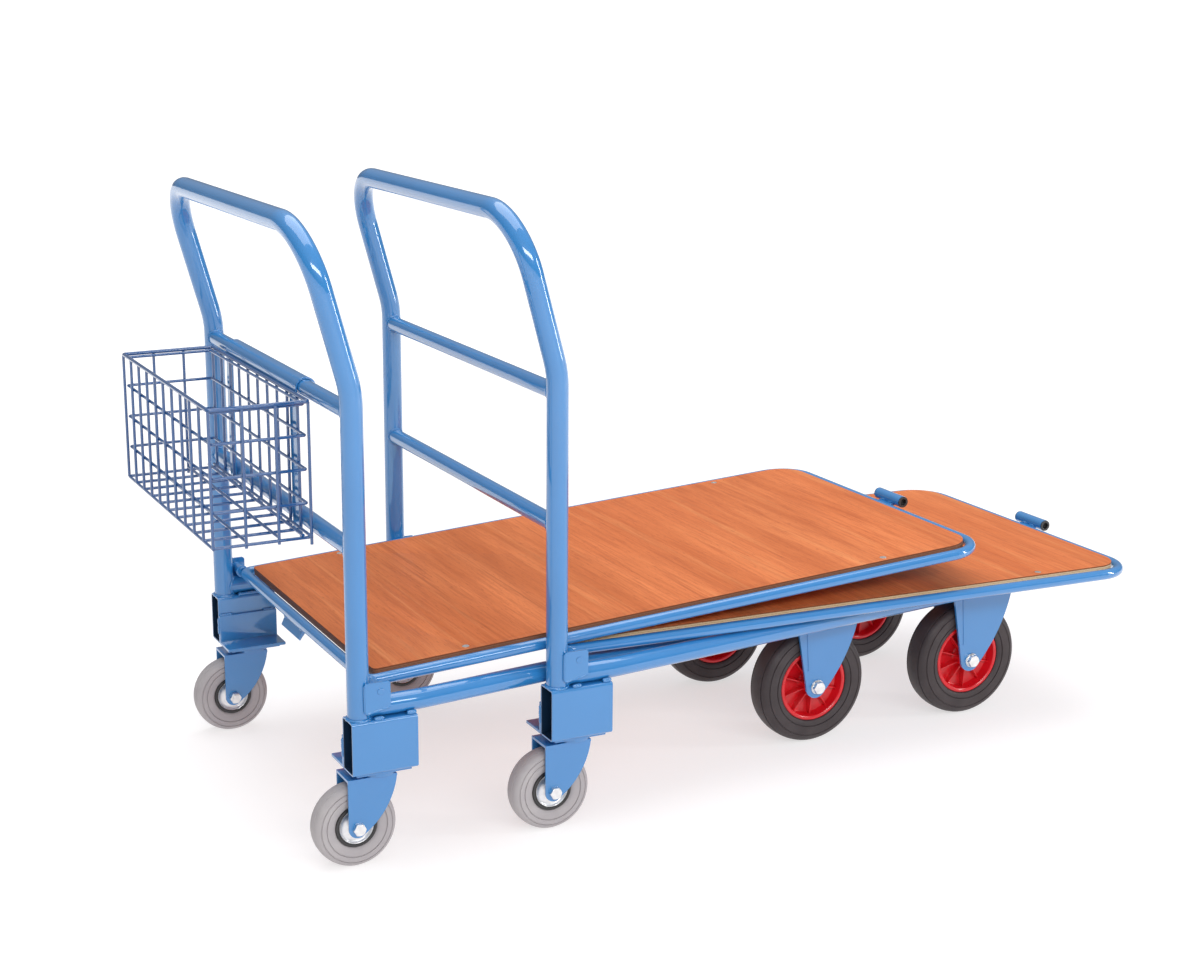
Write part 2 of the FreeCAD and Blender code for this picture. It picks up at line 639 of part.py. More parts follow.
def deck_board():
    """The plywood board, with rounded front corners."""
    half = DECK_HALF - DECK_TUBE_R - BOARD_GAP
    front = DECK_FRONT_X - DECK_TUBE_R - BOARD_GAP
    low = DECK_Z + SLAT_LOW + SLAT_T
    points = [V(BOARD_REAR_X, -half, low), V(front, -half, low), V(front, half, low),
              V(BOARD_REAR_X, half, low)]
    radii = (BOARD_REAR_R, BOARD_CORNER_R, BOARD_CORNER_R, BOARD_REAR_R)
    board = Part.Face(rounded_path(points, radii, closed=True)).extrude(V(0, 0, BOARD_T))
    return [without_screws(board)]


def hinge_boss():
    """The right boss beside the deck's rear corner, bored for the hinge pin."""
    boss = rod(V(HINGE_X, -BOSS_IN, HINGE_Z), V(HINGE_X, -BOSS_OUT, HINGE_Z), BOSS_R)
    bore = rod(V(HINGE_X, -BOSS_BORE_END, HINGE_Z), V(HINGE_X, -BOX_OUT, HINGE_Z), HINGE_PIN_R + RUN_GAP)
    return largest(boss.cut(bore).cut(edge_tube_space()))


def guide_tab():
    """The sloping tab behind the rear tube that lifts the next cart's deck."""
    low = DECK_TUBE_R / math.sqrt(2)
    start_x = DECK_REAR_X - low - WELD_GAP
    start_z = DECK_Z - low - WELD_GAP
    slope = GUIDE_REACH / math.sqrt(2)
    skin = GUIDE_T / math.sqrt(2)
    free_x = start_x - slope + GUIDE_BENT
    free_z = start_z - slope - GUIDE_BENT
    outline = polygon_xz(((start_x + 2 * skin, start_z - 2 * skin), (start_x, start_z), (free_x, free_z),
                          (free_x + skin, free_z - skin)))
    return plate_xz(outline, GUIDE_Y - GUIDE_WIDTH / 2, GUIDE_Y + GUIDE_WIDTH / 2)


def bumper_place():
    """The middle of the bumper tube."""
    return V(DECK_FRONT_X + BUMPER_AHEAD, 0, DECK_Z + BUMPER_H)


def bumper_tab():
    """The short plate between the front tube and the bumper tube."""
    half = BUMPER_TAB_WIDTH / 2
    ahead = bumper_place()
    rise = DECK_Z + BUMPER_TAB_RISE
    outline = polygon_xz(((DECK_FRONT_X, DECK_Z), (DECK_FRONT_X, DECK_Z + BUMPER_TAB_T),
                          (ahead.x, rise + BUMPER_TAB_T), (ahead.x, rise)))
    tube = rod(ahead - Y_AXIS * half, ahead + Y_AXIS * half, BUMPER_R + WELD_GAP)
    return plate_xz(outline, -half, half).cut(edge_tube_space()).cut(tube)


def deck_brackets():
    """Everything welded to the deck tube: hinge bosses, guide tab and bumper tab."""
    return both_sides([hinge_boss()]) + [guide_tab(), largest(bumper_tab())]


def bumper_tube():
    """The short cross tube in front of the deck."""
    half = Y_AXIS * (BUMPER_LENGTH / 2)
    return [hollow_rod(bumper_place() - half, bumper_place() + half, BUMPER_R, BUMPER_WALL)]


def bumper_plugs():
    """Plastic plugs pressed into the bumper tube's ends."""
    end = bumper_place() - Y_AXIS * (BUMPER_LENGTH / 2)
    stem = rod(end, end + Y_AXIS * PLUG_DEPTH, BUMPER_R - BUMPER_WALL - WELD_GAP)
    cap = rod(end - Y_AXIS * PLUG_T, end, BUMPER_R - 0.5)
    dish = rod(end - Y_AXIS * (PLUG_T + 1), end + Y_AXIS * 4, BUMPER_R - BUMPER_WALL - 2.5)
    return both_sides([cap.fuse(stem).cut(dish).removeSplitter()])


# ---- basket ------------------------------------------------------------------------------------------

def wire_basket():
    """A welded wire basket: uprights outside, rings inside them, a floor and a thicker rim."""
    inner = BASKET_INNER_X
    outer = inner - BASKET_DEPTH
    y0 = BASKET_Y - BASKET_HALF
    y1 = BASKET_Y + BASKET_HALF
    step = 2 * BASKET_HALF / BASKET_LONG_CELLS
    deep = BASKET_DEPTH / BASKET_DEEP_CELLS
    layer = 2 * WIRE_R
    floor_z = BASKET_BOTTOM
    foot = floor_z + WIRE_R
    top = BASKET_RIM_Z - RIM_R
    wires = []
    for i in range(BASKET_LONG_CELLS + 1):
        y = y0 + i * step
        wires.append(rod(V(outer - WIRE_R, y, floor_z), V(inner + WIRE_R, y, floor_z), WIRE_R))
        for x in (outer, inner):
            wires.append(rod(V(x, y, foot), V(x, y, top), WIRE_R))
    for i in range(1, BASKET_DEEP_CELLS):
        for y in (y0, y1):
            wires.append(rod(V(outer + i * deep, y, foot), V(outer + i * deep, y, top), WIRE_R))
    floor_wires = [outer + layer] + [outer + i * deep for i in range(1, BASKET_DEEP_CELLS)] + [inner - layer]
    for x in floor_wires:
        wires.append(rod(V(x, y0 + WIRE_R, floor_z + layer), V(x, y1 - WIRE_R, floor_z + layer), WIRE_R))
    for i in range(1, BASKET_ROWS):
        z = floor_z + (BASKET_RIM_Z - floor_z) * i / BASKET_ROWS
        for x in (outer + layer, inner - layer):
            wires.append(rod(V(x, y0 + layer + WIRE_R, z), V(x, y1 - layer - WIRE_R, z), WIRE_R))
        for y in (y0 + layer, y1 - layer):
            wires.append(rod(V(outer + WIRE_R, y, z), V(inner - WIRE_R, y, z), WIRE_R))
    for x in (outer, inner):
        wires.append(rod(V(x, y0 - RIM_R, BASKET_RIM_Z), V(x, y1 + RIM_R, BASKET_RIM_Z), RIM_R))
    for y in (y0, y1):
        wires.append(rod(V(outer + RIM_R, y, BASKET_RIM_Z), V(inner - RIM_R, y, BASKET_RIM_Z), RIM_R))
    return wires


def hook_outline(foot_z):
    """A channel over the upper bar. Its rear leg reaches down to foot_z."""
    bore = BAR_R + HOOK_GAP
    back = bore + HOOK_T
    z = UPPER_BAR_Z
    lip = z - HOOK_LIP
    return Part.Wire([
        Part.LineSegment(V(-back, 0, foot_z), V(-back, 0, z)).toShape(),
        Part.Arc(V(-back, 0, z), V(0, 0, z + back), V(back, 0, z)).toShape(),
        Part.LineSegment(V(back, 0, z), V(back, 0, lip)).toShape(),
        Part.LineSegment(V(back, 0, lip), V(bore, 0, lip)).toShape(),
        Part.LineSegment(V(bore, 0, lip), V(bore, 0, z)).toShape(),
        Part.Arc(V(bore, 0, z), V(0, 0, z + bore), V(-bore, 0, z)).toShape(),
        Part.LineSegment(V(-bore, 0, z), V(-bore, 0, foot_z)).toShape(),
        Part.LineSegment(V(-bore, 0, foot_z), V(-back, 0, foot_z)).toShape()])


def basket_hooks():
    """Two flat straps that hook over the upper bar and lean on the lower one, and a cover between them."""
    half = HOOK_WIDTH / 2
    hooks = []
    for middle in (BASKET_Y - HOOK_SPREAD, BASKET_Y + HOOK_SPREAD):
        hooks.append(plate_xz(hook_outline(HOOK_FOOT_Z), middle - half, middle + half))
    reach = HOOK_SPREAD - half - WELD_GAP
    cover = plate_xz(hook_outline(UPPER_BAR_Z - HOOK_LIP), BASKET_Y - reach, BASKET_Y + reach)
    return hooks + [cover]


# ---- the two carts ---------------------------------------------------------------------------------

def save(name, pieces, cart_x, tilt=0.0):
    """Put a node's pieces in place and write them."""
    shape = Part.makeCompound(pieces)
    if tilt:
        shape.rotate(V(HINGE_X, 0, HINGE_Z), Y_AXIS, -tilt)
    shape.translate(V(cart_x, 0, 0))
    shape.exportStep(os.path.join("parts", name + ".step"))


CHASSIS_NODES = (push_bow, crossbars, chassis_frame, caster_mounts, hinge_plates, hinge_pins, wheel_forks,
                 wheel_axles, caster_plates)
DECK_NODES = (deck_frame, deck_slats, deck_board, deck_screws, deck_brackets, bumper_tube, bumper_plugs)
WHEEL_NODES = (caster_fork, caster_axle, caster_tyre, caster_hub, wheel_tyre, wheel_hub)


def build_cart(prefix, cart_x, deck_tilt, made):
    """Write every node of one cart from pieces that both carts share."""
    for part in CHASSIS_NODES:
        save(prefix + "_" + part.__name__, made[part], cart_x)
    for part in DECK_NODES:
        save(prefix + "_" + part.__name__, made[part], cart_x, deck_tilt)
    for part in WHEEL_NODES:
        right = made[part]
        left = [piece.mirror(V(0, 0, 0), Y_AXIS) for piece in right]
        save(prefix + "_" + part.__name__ + "_right", right, cart_x)
        save(prefix + "_" + part.__name__ + "_left", left, cart_x)


def main():
    os.makedirs("parts", exist_ok=True)
    made = {part: part() for part in CHASSIS_NODES + DECK_NODES + WHEEL_NODES}
    build_cart("rear", REAR_CART_X, REAR_DECK_TILT, made)
    build_cart("front", FRONT_CART_X, FRONT_DECK_TILT, made)
    save("wire_basket", wire_basket(), REAR_CART_X)
    save("basket_hooks", basket_hooks(), REAR_CART_X)


main()
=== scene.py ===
import bmesh
import bpy
import json
import math
from mathutils import Matrix, Vector, noise


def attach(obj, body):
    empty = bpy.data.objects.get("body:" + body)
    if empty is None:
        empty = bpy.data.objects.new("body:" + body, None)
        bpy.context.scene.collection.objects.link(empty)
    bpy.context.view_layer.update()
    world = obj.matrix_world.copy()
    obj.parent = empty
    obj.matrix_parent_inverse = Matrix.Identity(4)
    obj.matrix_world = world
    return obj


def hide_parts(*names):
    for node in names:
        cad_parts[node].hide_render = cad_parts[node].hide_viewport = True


# Two nested platform carts. Sizes in this script are in millimetres, drawn in each cart's own frame
# (X = 0 at the uprights, Z = 0 at the floor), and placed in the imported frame, which is in metres.

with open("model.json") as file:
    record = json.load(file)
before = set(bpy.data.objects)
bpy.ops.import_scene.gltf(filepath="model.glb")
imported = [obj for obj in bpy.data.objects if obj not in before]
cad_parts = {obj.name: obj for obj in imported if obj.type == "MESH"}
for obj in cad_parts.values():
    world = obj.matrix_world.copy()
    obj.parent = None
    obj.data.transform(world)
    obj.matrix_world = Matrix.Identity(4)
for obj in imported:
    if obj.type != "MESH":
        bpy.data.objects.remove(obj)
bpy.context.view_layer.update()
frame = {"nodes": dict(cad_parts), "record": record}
MM = 0.001
CARTS = ("rear", "front")
JOINTS = {joint["name"]: joint for joint in frame["record"]["behaviour"]["joints"]}

# ---- sizes that the CAD model has ----------------------------------------------------------------
# Places on one side have a positive Y, and are mirrored for the other side.

HINGE_X = 27.0
HINGE_Z = 272.0
VENEER_Z = 281.9                    # where the board's top ply starts
BOW_R = 16.0
BOW_Y = 320.0
BAR_R = 12.5
BAR_HEIGHTS = (475.0, 670.0)
BOX_Y = (300.0, 340.0)
BOX_Z = (150.0, 230.0)
SHADED_BOX_INSIDE = (17.4, 37.4)           # half its width and height, with part of the rounded edge: inside this the box is painted dark navy as painted shade
RAIL_Y = 320.0
RAIL_Z = 245.05                     # above the boxes
RAIL_R = 15.0
WHEEL = (854.0, 156.0, 100.0)       # the middle of a big wheel
WHEEL_HALF = 25.0                   # half its width
CASTER = (-3.0, 296.0, 62.5)
CASTER_HALF = 18.0
BASKET_X = (-164.9, -18.9)
BASKET_Y = (-196.0, 266.0)
BASKET_FLOOR_Z = 466.0
RIM_Z = 664.0
WIRE_R = 2.3
RIM_R = 3.0
BASKET_BAYS = (3, 10, 4)            # along X, Y and Z
BASKET_ENDS = (5.0, 11.0)           # below the floor, on the short sides and on the bar's side
SLAT_X = (190.0, 430.0, 675.0, 920.0)
SLAT_END = (12.0, 283.8, 266.4)     # half the bead's length, its Y and its Z

# Weld tacks: start, end and radius, on the side where Y is positive.
CHASSIS_TACKS = (
    ((18, 335.6, 231.6), (32, 335.6, 231.6), 3.1),      # rail's outer side on the box
    ((68, 334.6, 232.6), (82, 334.6, 232.6), 3.5),
    ((3.6, 337.2, 243), (3.6, 337.2, 284), 1.7),        # hinge plate on the leg
    ((6, 338.2, 240.9), (41, 338.2, 247.6), 1.8),       # hinge plate on the rail
    ((-15.5, 298.8, 200.6), (6, 298.8, 200.6), 2.5),    # angle on the box
    ((60, 298.8, 200.6), (81, 298.8, 200.6), 2.5),
    ((-17.2, 299.5, 168), (-17.2, 299.5, 196), 2.2),
    ((20, 304.4, 231.6), (60, 304.4, 231.6), 2.6))      # rail's inner side on the box
DECK_TACKS = (
    ((20.6, -21.0, 266.4), (20.6, -12.0, 266.4), 2.0),          # guide tab
    ((20.6, 52.0, 266.4), (20.6, 61.0, 266.4), 2.0),
    ((1113.5, -15.0, 280.0), (1113.5, -4.0, 280.0), 2.2),       # bumper tab
    ((1113.5, 5.0, 280.0), (1113.5, 16.0, 280.0), 2.2))


def deck_tilt(prefix):
    """How far a deck is tilted, from the faces of its board."""
    up = Vector()
    for face in frame["nodes"][prefix + "_deck_board"].data.polygons:
        if face.normal.z > 0.9:
            up += face.normal * face.area
    return math.atan2(-up.x, up.z)


def cart_place(prefix):
    """From a cart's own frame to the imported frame."""
    hinge = JOINTS[prefix + "_deck_tilt"]["pos_m"]
    return Matrix.Translation((hinge[0] - HINGE_X * MM, 0, 0))


def deck_place(prefix):
    """The same for a deck drawn level: it is tilted about its hinge."""
    hinge = Vector((HINGE_X, 0, HINGE_Z)) * MM
    turn = Matrix.Rotation(-deck_tilt(prefix), 4, "Y")
    return cart_place(prefix) @ Matrix.Translation(hinge) @ turn @ Matrix.Translation(-hinge)


# ---- materials -----------------------------------------------------------------------------------

class Shader:
    """A small helper around one node tree."""

    def __init__(self, name, **values):
        self.material = bpy.data.materials.new(name)
        self.material.use_nodes = True
        self.tree = self.material.node_tree
        self.surface = self.tree.nodes["Principled BSDF"]
        for socket, value in values.items():
            self.surface.inputs[socket.replace("_", " ")].default_value = value
        self.place = self.add("ShaderNodeTexCoord").outputs["Object"]

    def add(self, kind, **inputs):
        node = self.tree.nodes.new(kind)
        for name, value in inputs.items():
            self.feed(node.inputs[name.replace("_", " ")], value)
        return node

    def feed(self, socket, value):
        if isinstance(value, bpy.types.NodeSocket):
            self.tree.links.new(value, socket)
        else:
            socket.default_value = value

    def stretched(self, scale, place=(0, 0, 0)):
        """Object coordinates, scaled by a different amount on each axis."""
        node = self.add("ShaderNodeMapping", Vector=self.place, Scale=scale, Location=place)
        return node.outputs["Vector"]

    def noise(self, scale, detail=2.0, where=None, roughness=0.5, distortion=0.0):
        node = self.add("ShaderNodeTexNoise", Vector=where or self.place, Scale=scale, Detail=detail,
                        Roughness=roughness, Distortion=distortion)
        return node.outputs["Fac"]

    def ramp(self, fac, *stops):
        """A colour ramp; each stop is (position, colour or grey level)."""
        node = self.add("ShaderNodeValToRGB", Fac=fac)
        elements = node.color_ramp.elements
        while len(elements) < len(stops):
            elements.new(0.5)
        for element, (position, colour) in zip(elements, stops):
            grey = isinstance(colour, (int, float))
            element.position = position
            element.color = (colour,) * 3 + (1,) if grey else tuple(colour) + (1,)
        return node.outputs["Color"]

    def mix(self, fac, a, b):
        node = self.add("ShaderNodeMix")
        node.data_type = "RGBA"
        self.feed(node.inputs["Factor"], fac)
        for socket, value in zip([s for s in node.inputs if s.type == "RGBA"], (a, b)):
            self.feed(socket, tuple(value) + (1,) if isinstance(value, tuple) else value)
        return next(s for s in node.outputs if s.type == "RGBA")

    def math(self, operation, a, b=0.0):
        node = self.add("ShaderNodeMath")
        node.operation = operation
        self.feed(node.inputs[0], a)
        self.feed(node.inputs[1], b)
        return node.outputs[0]

    def distance(self):
        """How far a place is from the object's origin."""
        node = self.add("ShaderNodeVectorMath")
        node.operation = "LENGTH"
        self.feed(node.inputs[0], self.place)
        return node.outputs["Value"]

    def colour(self, value):
        self.feed(self.surface.inputs["Base Color"], value)

    def roughness(self, fac, low, high):
        node = self.add("ShaderNodeMapRange", Value=fac)
        node.inputs["To Min"].default_value = low
        node.inputs["To Max"].default_value = high
        self.feed(self.surface.inputs["Roughness"], node.outputs[0])

    def bump(self, *layers):
        """Layers of (height, strength, distance in metres), one on top of the other."""
        normal = None
        for height, strength, distance in layers:
            node = self.add("ShaderNodeBump", Height=height, Strength=strength, Distance=distance)
            if normal is not None:
                self.feed(node.inputs["Normal"], normal)
            normal = node.outputs["Normal"]
        self.feed(self.surface.inputs["Normal"], normal)


def blue_paint(name, base, deep, painted_shade_inside=False):
    """Gloss powder coat with a faint orange peel. The inside of a box section can be painted a dark
    navy, as painted shade.
    """
    s = Shader(name, Coat_Weight=1.0, Coat_Roughness=0.05, Coat_IOR=1.75, Specular_IOR_Level=0.3)
    broad = s.noise(7.0, 3.0)
    coat = s.mix(s.ramp(broad, (0.3, 0.0), (0.7, 1.0)), deep, base)
    # Painted shade: inside the box section the colour is a dark navy that stands for shade.
    if painted_shade_inside:
        split = s.add("ShaderNodeSeparateXYZ", Vector=s.place)
        across = s.math("SUBTRACT", s.math("ABSOLUTE", split.outputs["Y"]), sum(BOX_Y) / 2 * MM)
        level = s.math("SUBTRACT", split.outputs["Z"], sum(BOX_Z) / 2 * MM)
        in_painted_shade = [s.math("LESS_THAN", s.math("ABSOLUTE", offset), half * MM)
                  for offset, half in zip((across, level), SHADED_BOX_INSIDE)]
        coat = s.mix(s.math("MULTIPLY", *in_painted_shade), coat, (0.008, 0.026, 0.062))
    s.colour(coat)
    s.roughness(s.noise(14.0, 3.0), 0.26, 0.32)
    s.bump((s.noise(330.0, 1.0), 0.004, 0.0003))
    return s.material


def plywood(name, shift, pale, dark):
    """Varnished plywood: grain across the cart on the faces, plies and a dark veneer at the edges."""
    s = Shader(name, Specular_IOR_Level=0.14)
    grain_place = s.stretched((16.0, 1.3, 16.0), shift)
    wander = s.noise(1.0, 4.0, grain_place, 0.55, 0.6)
    fine = s.noise(1.0, 5.0, s.stretched((230.0, 9.0, 230.0), shift), 0.6)
    pores = s.noise(1.0, 2.0, s.stretched((900.0, 55.0, 900.0), shift), 0.5)
    streaks = s.noise(1.0, 3.0, s.stretched((75.0, 2.2, 75.0), shift), 0.6, 0.3)
    broad = s.noise(3.0, 2.0, s.stretched((1.0, 0.6, 1.0), shift))
    pale_bands = s.stretched((48.0, 1.6, 48.0), (8.0, 2.0, 0.0))
    tone = s.mix(s.ramp(wander, (0.32, 0.0), (0.68, 1.0)), (0.540, 0.142, 0.042), (0.790, 0.250, 0.088))
    tone = s.mix(s.ramp(broad, (0.35, 0.0), (0.7, 0.55)), tone, (0.640, 0.165, 0.052))
    tone = s.mix(s.ramp(fine, (0.36, 0.45), (0.56, 0.0)), tone, (0.420, 0.092, 0.026))
    tone = s.mix(s.ramp(s.noise(1.0, 4.0, pale_bands, 0.6, 0.4), (0.56, 0.0), (0.72, 0.32)),
                 tone, (0.860, 0.380, 0.150))
    tone = s.mix(s.ramp(pores, (0.60, 0.0), (0.72, 0.5)), tone, (0.300, 0.060, 0.024))
    tone = s.mix(s.ramp(streaks, (0.64, 0.0), (0.76, 0.5)), tone, (0.260, 0.052, 0.018))
    height = s.add("ShaderNodeSeparateXYZ", Vector=s.place).outputs["Z"]
    veneer = s.math("GREATER_THAN", height, VENEER_Z * MM)
    plies = s.add("ShaderNodeTexWave", Vector=s.place, Scale=130.0, Distortion=0.4, Detail=1.0)
    plies.bands_direction = "Z"
    edge = s.mix(s.ramp(plies.outputs["Fac"], (0.35, 0.0), (0.6, 1.0)), pale, dark)
    edge = s.mix(s.ramp(s.noise(400.0, 3.0), (0.4, 0.0), (0.7, 0.5)), edge, pale)
    edge = s.mix(veneer, edge, (0.230, 0.070, 0.030))
    facing = s.add("ShaderNodeSeparateXYZ", Vector=s.add("ShaderNodeTexCoord").outputs["Normal"])
    flat = s.math("GREATER_THAN", s.math("ABSOLUTE", facing.outputs["Z"]), 0.6)
    s.colour(s.mix(flat, edge, tone))
    s.roughness(fine, 0.34, 0.50)
    s.bump((pores, 0.12, 0.0003), (fine, 0.10, 0.0004), (wander, 0.06, 0.002))
    return s.material


def rubber(name, base, dusty, rough):
    """Moulded rubber with a little dust and a fine matte texture."""
    s = Shader(name, Specular_IOR_Level=0.35)
    s.colour(s.mix(s.ramp(s.noise(28.0, 4.0), (0.38, 0.0), (0.75, 1.0)), base, dusty))
    s.roughness(s.noise(70.0, 3.0), rough - 0.08, rough + 0.1)
    s.bump((s.noise(1500.0, 2.0), 0.14, 0.0002), (s.noise(90.0, 3.0), 0.08, 0.0008))
    return s.material


def moulded(name, base, deep, rough):
    """Injection-moulded plastic."""
    s = Shader(name, Coat_Weight=0.2, Coat_Roughness=0.15)
    s.colour(s.mix(s.ramp(s.noise(35.0, 3.0), (0.35, 0.0), (0.7, 1.0)), deep, base))
    s.roughness(s.noise(120.0, 3.0), rough - 0.06, rough + 0.08)
    s.bump((s.noise(900.0, 2.0), 0.05, 0.0002), (s.noise(45.0, 2.0), 0.06, 0.001))
    return s.material


def plated(name, base, shade, rough):
    """Bright zinc plate: slightly clouded metal with fine turning marks."""
    s = Shader(name, Metallic=1.0)
    s.colour(s.mix(s.ramp(s.noise(140.0, 4.0), (0.35, 0.0), (0.7, 1.0)), shade, base))
    s.roughness(s.noise(300.0, 3.0), rough - 0.08, rough + 0.12)
    s.bump((s.noise(700.0, 3.0), 0.10, 0.0002))
    return s.material


BLUES = ((0.026, 0.212, 0.530), (0.023, 0.196, 0.495))
PAINT = blue_paint("blue_powder_coat", *BLUES)
# The boxes' paint: their inside is painted a dark navy as shade.
BOX_PAINT_SHADED_INSIDE = blue_paint("blue_box_coat_painted_inner_shade", *BLUES, painted_shade_inside=True)
WIRE_PAINT = blue_paint("blue_wire_coat", (0.010, 0.085, 0.270), (0.008, 0.072, 0.235))
PLY = {"rear": plywood("varnished_plywood_rear", (0.0, 0.0, 0.0),
                       (0.340, 0.150, 0.080), (0.200, 0.080, 0.045)),
       "front": plywood("varnished_plywood_front", (3.7, 1.9, 0.8),
                        (0.860, 0.660, 0.420), (0.560, 0.320, 0.160))}
GREY_RUBBER = rubber("grey_rubber", (0.400, 0.372, 0.385), (0.450, 0.425, 0.430), 0.62)
BLACK_RUBBER = rubber("black_rubber", (0.045, 0.035, 0.037), (0.062, 0.050, 0.052), 0.5)
RED = moulded("red_hub_plastic", (0.720, 0.008, 0.018), (0.600, 0.006, 0.012), 0.3)
BLACK = moulded("black_plastic", (0.030, 0.028, 0.030), (0.020, 0.019, 0.020), 0.4)
ZINC = plated("bright_zinc", (0.92, 0.92, 0.91), (0.76, 0.76, 0.77), 0.30)
HUB_STEEL = plated("hub_steel", (0.88, 0.88, 0.88), (0.78, 0.78, 0.80), 0.36)

SLOT_MATERIAL = {"blue_paint": PAINT, "basket_wire": WIRE_PAINT, "grey_rubber": GREY_RUBBER,
                 "black_rubber": BLACK_RUBBER, "red_plastic": RED, "hub_steel": HUB_STEEL,
                 "zinc_plate": ZINC, "black_plastic": BLACK}
NODE_SLOT = {part["node"]: part["material_slot"] for part in frame["record"]["subparts"]}
NODE_BODY = {node: body for body, nodes in frame["record"]["behaviour"]["bodies"].items()
             for node in nodes}


# ---- mesh helpers --------------------------------------------------------------------------------

def piece(name, shape, material, body, place, sharp):
    """A new mesh object from a shape's points, in millimetres in the frame of place, and its faces."""
    mesh = bpy.data.meshes.new(name)
    mesh.from_pydata([Vector(v) * MM for v in shape[0]], [], shape[1])
    mesh.update()
    bm = bmesh.new()
    bm.from_mesh(mesh)
    bmesh.ops.recalc_face_normals(bm, faces=bm.faces)
    bm.to_mesh(mesh)
    bm.free()
    return dress(name, mesh, material, body, place, sharp)


def dress(name, mesh, material, body, place, sharp):
    """Puts a mesh in the scene with its material and body. Edges are sharp from an angle on."""
    mesh.materials.clear()
    mesh.materials.append(material)
    mesh.polygons.foreach_set("use_smooth", [True] * len(mesh.polygons))
    mesh.set_sharp_from_angle(angle=math.radians(sharp))
    obj = bpy.data.objects.new(name, mesh)
    bpy.context.scene.collection.objects.link(obj)
    obj.matrix_world = place
    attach(obj, body)
    return obj


def soften(obj, width, from_angle):
    """A small bevel on the edges that turn by more than an angle."""
    edge = obj.modifiers.new("edges", "BEVEL")
    edge.width = width * MM
    edge.segments = 2
    edge.limit_method = "ANGLE"
    edge.angle_limit = math.radians(from_angle)
    return edge


def softened(node, material, place, width):
    """A copy of a CAD node with its edges rounded off."""
    mesh = frame["nodes"][node].data.copy()
    mesh.transform(place.inverted())
    bm = bmesh.new()
    bm.from_mesh(mesh)
    bmesh.ops.remove_doubles(bm, verts=bm.verts, dist=1e-6)
    bmesh.ops.dissolve_limit(bm, angle_limit=math.radians(0.6), verts=bm.verts, edges=bm.edges)
    bm.to_mesh(mesh)
    bm.free()
    obj = dress(node + "_finish", mesh, material, NODE_BODY[node], place, 40.0)
    soften(obj, width, 35).harden_normals = True
    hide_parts(node)


# ---- swept and turned shapes ---------------------------------------------------------------------

def rounded(points, radius, step=12.0):
    """A closed line through corner points, with an arc at each corner. step is in degrees."""
    points = [Vector(p) for p in points]
    count = len(points)
    line = []
    for corner, here in enumerate(points):
        back = (points[corner - 1] - here).normalized()
        ahead = (points[(corner + 1) % count] - here).normalized()
        half = back.angle(ahead) / 2
        centre = here + (back + ahead).normalized() * (radius / math.sin(half))
        start = here + back * (radius / math.tan(half)) - centre
        axis = back.cross(ahead)
        sweep_angle = math.pi - 2 * half
        steps = max(2, math.ceil(math.degrees(sweep_angle) / step))
        for i in range(steps + 1):
            line.append(centre + Matrix.Rotation(-sweep_angle * i / steps, 3, axis) @ start)
    return line


def evenly(line, spacing, closed=False):
    """The same line with points about spacing apart."""
    line = [Vector(p) for p in line]
    if closed:
        line = line + [line[0]]
    lengths = [(b - a).length for a, b in zip(line, line[1:])]
    total = sum(lengths)
    count = max(2, round(total / spacing))
    out = []
    run, i = 0.0, 0
    for k in range(count if closed else count + 1):
        want = total * k / count
        while i < len(lengths) - 1 and run + lengths[i] < want:
            run += lengths[i]
            i += 1
        out.append(line[i].lerp(line[i + 1], (want - run) / lengths[i]))
    return out


def sweep(line, radius, sides, closed=False):
    """Points and faces of a round bar along a line. radius is a number, or a function of the place."""
    count = len(line)
    verts, faces = [], []
    across = None
    for i, point in enumerate(line):
        if closed:
            along = (line[(i + 1) % count] - line[i - 1]).normalized()
        else:
            along = (line[min(i + 1, count - 1)] - line[max(i - 1, 0)]).normalized()
        if across is None:
            across = along.orthogonal().normalized()
        across = (across - along * across.dot(along)).normalized()
        beside = along.cross(across)
        r = radius(i, point) if callable(radius) else radius
        for j in range(sides):
            turn = 2 * math.pi * j / sides
            verts.append(point + (across * math.cos(turn) + beside * math.sin(turn)) * r)
    for i in range(count if closed else count - 1):
        for j in range(sides):
            a, b = i * sides, (i + 1) % count * sides
            k = (j + 1) % sides
            faces.append((a + j, a + k, b + k, b + j))
    if not closed:
        faces.append(tuple(range(sides))[::-1])
        faces.append(tuple((count - 1) * sides + j for j in range(sides)))
    return verts, faces


def turned(profile, centre, segments):
    """A closed (radius, offset) outline turned about the Y direction through centre."""
    verts, faces = [], []
    count = len(profile)
    for i in range(segments):
        turn = 2 * math.pi * i / segments
        for r, y in profile:
            verts.append(Vector((centre[0] + r * math.cos(turn), centre[1] + y,
                                 centre[2] + r * math.sin(turn))))
    for i in range(segments):
        a, b = i * count, (i + 1) % segments * count
        for j in range(count):
            k = (j + 1) % count
            faces.append((a + j, a + k, b + k, b + j))
    return verts, faces


def joined(shapes):
    """Several shapes made one."""
    verts, faces = [], []
    for more_verts, more_faces in shapes:
        start = len(verts)
        verts.extend(more_verts)
        faces.extend(tuple(start + i for i in face) for face in more_faces)
    return verts, faces


def bead(line, radius, seed, closed=False):
    """A weld bead: a lumpy, rippled bar laid along a line."""
    spacing = 1.1
    points = evenly(line, spacing, closed)
    ripple = 2 * math.pi / 3.4

    def lumps(i, point):
        rough = noise.noise(point * 0.16 + Vector((seed, 0, 0)))
        ends = 1.0 if closed else min(1.0, 0.55 + 0.25 * min(i, len(points) - 1 - i))
        return radius * ends * (1.0 + 0.10 * math.sin(ripple * spacing * i) + 0.22 * rough)

    return sweep(points, lumps, 9, closed)


# ---- the carried-over CAD pieces -----------------------------------------------------------------

